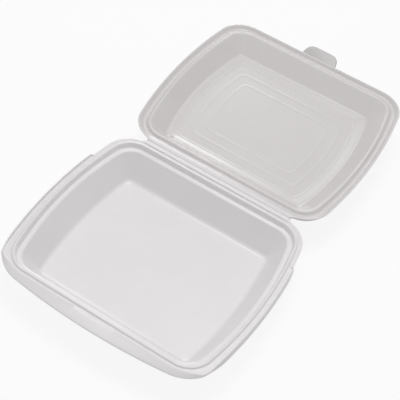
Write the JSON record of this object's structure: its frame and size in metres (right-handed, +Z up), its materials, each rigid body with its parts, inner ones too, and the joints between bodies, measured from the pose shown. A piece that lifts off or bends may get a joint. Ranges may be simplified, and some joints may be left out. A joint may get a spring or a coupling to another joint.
{
  "type": "foam clamshell container",
  "caption": "Hinged take-away box of moulded foam, standing open with its shallow lid laid back; ridged rim with raised lip and bowed front apron, side steps, front tab, creased hinge strip.",
  "frame": {"origin": "on the tray's flat underside, straight below the middle of the rim", "axes": "+X along the hinge, +Y from the front lip towards the hinge and the opened lid, +Z up"},
  "size_m": [0.2518, 0.4613, 0.0498],
  "materials": {
    "foam": "matte white skin of foamed polystyrene sheet, with a faint cell grain"
  },
  "bodies": {
    "base": {"base_tray": "foam"},
    "lid": {"lid": "foam"}
  },
  "joints": [
    {"name": "lid_hinge", "type": "hinge", "parent": "base", "child": "lid", "pos_m": [0, 0.112, 0.0371], "axis": [1, 0, 0], "range_deg": [0, 177.9]}
  ]
}
